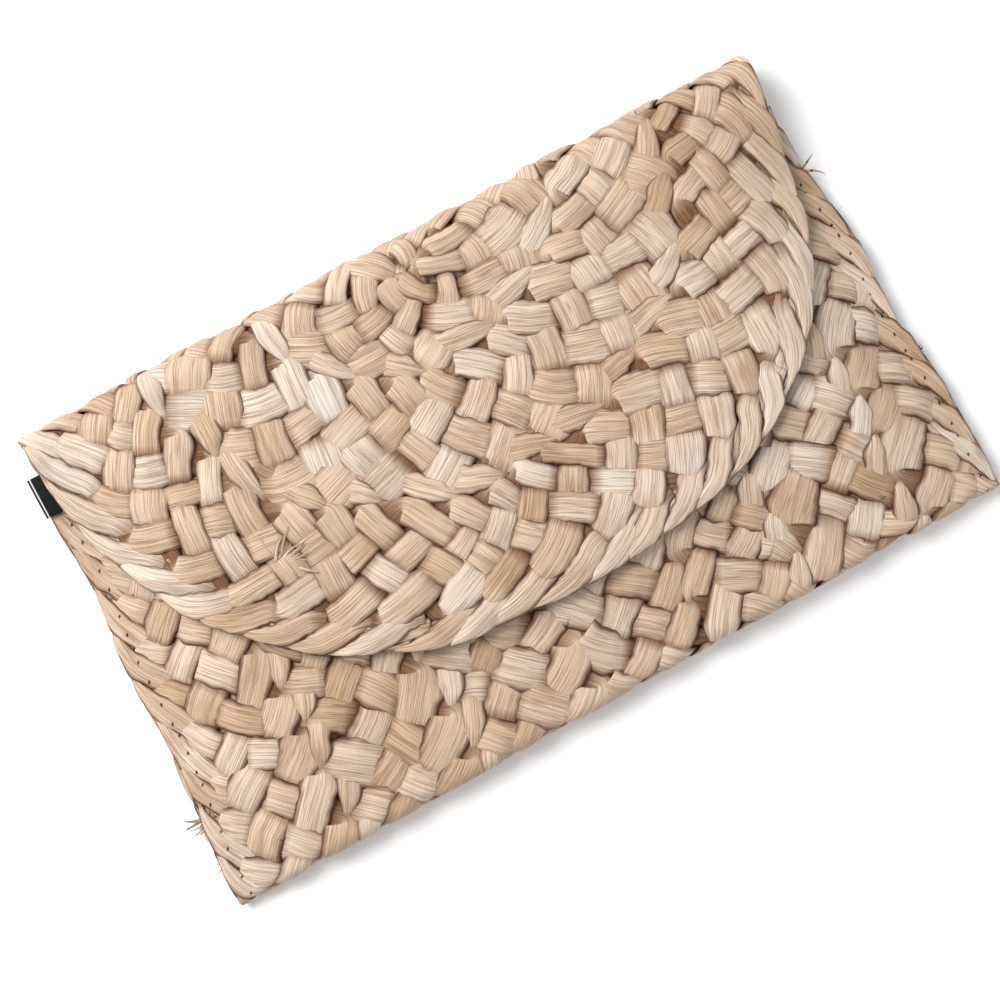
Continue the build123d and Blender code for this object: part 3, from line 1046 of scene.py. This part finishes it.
class CLUTCH_OT_edges(bpy.types.Operator):
    """Lay the narrow edge that runs down both sides and round the flap, and plait the mouth's"""

    bl_idname = "clutch.edges"
    bl_label = "Edge plaits"

    def execute(self, context):
        settings = context.scene.clutch_plait
        pressed = corn_husk("corn husk, pressed edge", settings, 0.56, stitched=False)
        sewn = corn_husk("corn husk, pressed and sewn edge", settings, 0.5, stitched=True)
        outer = half_width(0.0)
        inner = outer - EDGE_WIDTH
        course = ring_table("outer", "edge", (-inner, inner), (-outer, outer))
        spacing = settings.cell / MM / settings.strands
        runs = edge_leaves(course, spacing, leaf_style(settings), 21)
        short = leaf_style(settings, leaf_turn=2.5, leaf_tuck=0.6)
        runs += edge_leaves(course, spacing, short, 22, side=-1.0)
        torn = fibre_style(settings, -0.2, -2.2)
        for name, leg in zip(("left", "right"), legs(course)):
            strands = pick_runs(runs, leg)
            for x, m, heading, count, length, seed in FRAYS[name]:
                strands += loose_fibres(x, m, heading, count, length, 0.35, torn, seed)
            piece = strands_to_mesh(f"side_edge_{name}", strands)
            dress(piece, sewn, f"side_border_{name}")
        piece = strands_to_mesh("flap_edge", pick_runs(runs, past_fold))
        dress(piece, pressed, "flap_border", on_flap=True)

        narrow = plait_style(
            settings,
            period=36.0,
            strand_share=0.5,
            leaf=0.0,
            leaf_drop=0.0,
            petal_width=0.0,
            petal_lift=0.0,
        )
        course = cross_table(0.0, MOUTH_HIGH.y - MOUTH_LOW.y)
        piece = strands_to_mesh("mouth_edge", plait_strands(course, 3, narrow, 22))
        dress(piece, pressed, "mouth_border")
        return {"FINISHED"}


def sheet_on_mat(name, m_from, m_to, edge, depth, columns, rows, squeeze=0.0):
    """A sheet of cloth depth below the mat's middle, from m_from to m_to, thickened.

    edge gives its half width at places m, for those to the left or right of the middle. Squeeze is
    the share of its depth it loses where front and back are sewn together.
    """
    bpy.ops.object.select_all(action="DESELECT")
    bpy.ops.mesh.primitive_grid_add(x_subdivisions=columns, y_subdivisions=rows, size=2.0)
    piece = bpy.context.object
    piece.name = name
    co = np.empty(len(piece.data.vertices) * 3)
    piece.data.vertices.foreach_get("co", co)
    co = co.reshape(-1, 3)
    m = m_from + (m_to - m_from) * (co[:, 1] + 1.0) / 2
    x = co[:, 0] * edge(m, co[:, 0] < 0)
    ripple = wander(x, m, 77, 38.0, 0.05)
    pressed = 1.0 - squeeze * (1.0 - smooth((half_width(body_y(m)) - np.abs(x)) / 25.0))
    points = mat_point(x, m, ripple - depth * pressed) * MM
    piece.data.vertices.foreach_set("co", points.ravel())
    piece.data.update()
    solid = piece.modifiers.new("cloth thickness", "SOLIDIFY")
    solid.thickness = CLOTH * MM
    solid.offset = 0.0
    bpy.ops.object.modifier_apply(modifier=solid.name)
    bpy.ops.object.shade_smooth()
    return piece


class CLUTCH_OT_lining(bpy.types.Operator):
    """Sew in the cotton lining of the pouch and flap and the slip pocket"""

    bl_idname = "clutch.lining"
    bl_label = "Lining and pocket"

    def execute(self, context):
        cloth = cotton()
        depth = MAT / 2 + LINING_GAP

        def body_edge(m, on_left):
            """The pouch lining's half width, just under the side edges' inner rim."""
            return seam_line(half_width(0.0) - EDGE_WIDTH + 2.0, TOP_HALF - EDGE_WIDTH, m)

        start = 2.0
        piece = sheet_on_mat("pouch_lining_cloth", start, M_FOLD, body_edge, depth, 72, 110, 0.5)
        dress(piece, cloth, "pouch_lining")

        left, right, depth_below = arch_box("edge")
        side = (right - left) / 2 - LINING_INSET
        m_tip = float(mat_distance(np.array(depth_below - LINING_INSET)))

        def flap_edge(m, on_left):
            """The flap lining's half width: straight over the fold, then rounded like the flap."""
            drop = np.where(m < M_CREST, 0.0, m - M_CREST)
            full = np.where(on_left, *ARCH_FULLNESS["edge"])
            return side * np.maximum(1.0 - (drop / (m_tip - M_CREST)) ** full, 1e-4) ** (1.0 / full)

        piece = sheet_on_mat("flap_lining_cloth", M_FOLD, m_tip, flap_edge, depth, 72, 60)
        dress(piece, cloth, "flap_lining", on_flap=True)

        low, high = node_box("inner_pocket")
        m_low = M_BACK + low.y - BEND_Y
        m_high = M_BACK + high.y - BEND_Y
        half = (high.x - low.x) / 2

        def pocket_edge(m, on_left):
            """The slip pocket's half width, the same all along."""
            return np.full_like(m, half)

        piece = sheet_on_mat("slip_pocket", m_low, m_high, pocket_edge, depth + 0.75, 40, 26)
        dress(piece, cloth, "inner_pocket")
        return {"FINISHED"}


class CLUTCH_OT_tab(bpy.types.Operator):
    """Fold the small black ribbon tab into the left side seam"""

    bl_idname = "clutch.tab"
    bl_label = "Seam tab"

    def execute(self, context):
        low = TAB_LOW * MM
        high = TAB_HIGH * MM
        low.x += TAB_TAKEN * MM
        low.z -= 1.6 * MM
        high.z -= 1.8 * MM
        inner = low.x + TAB_REACH * MM
        middle = ((low.x + inner) / 2, (low.y + high.y) / 2, (low.z + high.z) / 2)
        size = (inner - low.x, high.y - low.y, high.z - low.z)
        bpy.ops.object.select_all(action="DESELECT")
        bpy.ops.mesh.primitive_cube_add(size=1.0, location=middle, scale=size)
        piece = bpy.context.object
        piece.name = "seam_tab"
        bpy.ops.object.transform_apply(location=True, rotation=True, scale=True)
        bpy.ops.object.mode_set(mode="EDIT")
        bpy.ops.mesh.subdivide(number_cuts=6)
        bpy.ops.object.mode_set(mode="OBJECT")

        # The ribbon bows out of its fold by a fraction of a millimetre
        for vertex in piece.data.vertices:
            out = (inner - vertex.co.x) / size[0]
            bow = math.sin(out * 2.2) * math.cos((vertex.co.y - middle[1]) * 160)
            vertex.co.z += 0.6 * MM * bow
        bevel = piece.modifiers.new("folded edge", "BEVEL")
        bevel.width = 0.4 * MM
        bevel.segments = 3
        bevel.angle_limit = math.radians(40)
        bpy.ops.object.modifier_apply(modifier=bevel.name)
        bpy.ops.object.shade_smooth()
        dress(piece, black_ribbon(), "label_tab")
        return {"FINISHED"}


class CLUTCH_OT_snap(bpy.types.Operator):
    """Finish the magnetic snap's plates in nickel"""

    bl_idname = "clutch.snap"
    bl_label = "Magnetic snap"

    def execute(self, context):
        metal = nickel()
        for name in ("snap_socket", "snap_socket_washer", "snap_stud", "snap_stud_washer"):
            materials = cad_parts[name].data.materials
            materials.clear()
            materials.append(metal)
        return {"FINISHED"}


class CLUTCH_OT_stage(bpy.types.Operator):
    """Lay the floor and set the lights and the camera"""

    bl_idname = "clutch.stage"
    bl_label = "Stage"

    def execute(self, context):
        settings = context.scene.clutch_stage
        bpy.ops.object.select_all(action="DESELECT")
        bpy.ops.mesh.primitive_plane_add(size=6.0, location=(0.0, 0.0, -FLOOR_DROP * MM))
        floor = bpy.context.object
        floor.name = "floor"
        bpy.ops.object.transform_apply(location=True)
        floor.data.materials.append(floor_card())

        for name, place, size, share in LIGHTS:
            data = bpy.data.lights.new(name, "AREA")
            data.size = size
            data.energy = settings.key_power * share
            lamp = bpy.data.objects.new(name, data)
            lamp.location = place
            lamp.rotation_euler = (-Vector(place)).to_track_quat("-Z", "Y").to_euler()
            context.collection.objects.link(lamp)

        world = bpy.data.worlds.new("studio")
        world.use_nodes = True
        white = world.node_tree.nodes["Background"].inputs
        white["Color"].default_value = (1.0, 1.0, 1.0, 1.0)
        white["Strength"].default_value = WORLD_STRENGTH
        context.scene.world = world
        context.scene.view_settings.view_transform = "Standard"

        lens = bpy.data.cameras.new("camera")
        lens.lens = settings.lens
        lens.sensor_width = 36.0
        camera = bpy.data.objects.new("camera", lens)
        camera.location = CAMERA_PLACE
        camera.rotation_euler = [math.radians(angle) for angle in CAMERA_TURN]
        context.collection.objects.link(camera)
        context.scene.camera = camera
        return {"FINISHED"}


class CLUTCH_PT_panel(bpy.types.Panel):
    """The clutch's settings and steps"""

    bl_idname = "CLUTCH_PT_panel"
    bl_label = "Straw clutch"
    bl_space_type = "VIEW_3D"
    bl_region_type = "UI"
    bl_category = "Clutch"

    def draw(self, context):
        layout = self.layout
        for name in ("strands", "cell", "step", "thickness", "tone_spread"):
            layout.prop(context.scene.clutch_plait, name)
        for name in ("lens", "key_power"):
            layout.prop(context.scene.clutch_stage, name)
        for operator in OPERATORS:
            layout.operator(operator.bl_idname)


OPERATORS = (
    CLUTCH_OT_courses,
    CLUTCH_OT_edges,
    CLUTCH_OT_lining,
    CLUTCH_OT_tab,
    CLUTCH_OT_snap,
    CLUTCH_OT_stage,
)
CLASSES = (PlaitSettings, StageSettings, *OPERATORS, CLUTCH_PT_panel)


def register():
    for cls in CLASSES:
        bpy.utils.register_class(cls)
    bpy.types.Scene.clutch_plait = bpy.props.PointerProperty(type=PlaitSettings)
    bpy.types.Scene.clutch_stage = bpy.props.PointerProperty(type=StageSettings)


def unregister():
    del bpy.types.Scene.clutch_stage
    del bpy.types.Scene.clutch_plait
    for cls in reversed(CLASSES):
        bpy.utils.unregister_class(cls)


def main():
    register()
    bpy.ops.clutch.courses()
    bpy.ops.clutch.edges()
    bpy.ops.clutch.lining()
    bpy.ops.clutch.tab()
    bpy.ops.clutch.snap()
    bpy.ops.clutch.stage()


if __name__ == "__main__":
    main()
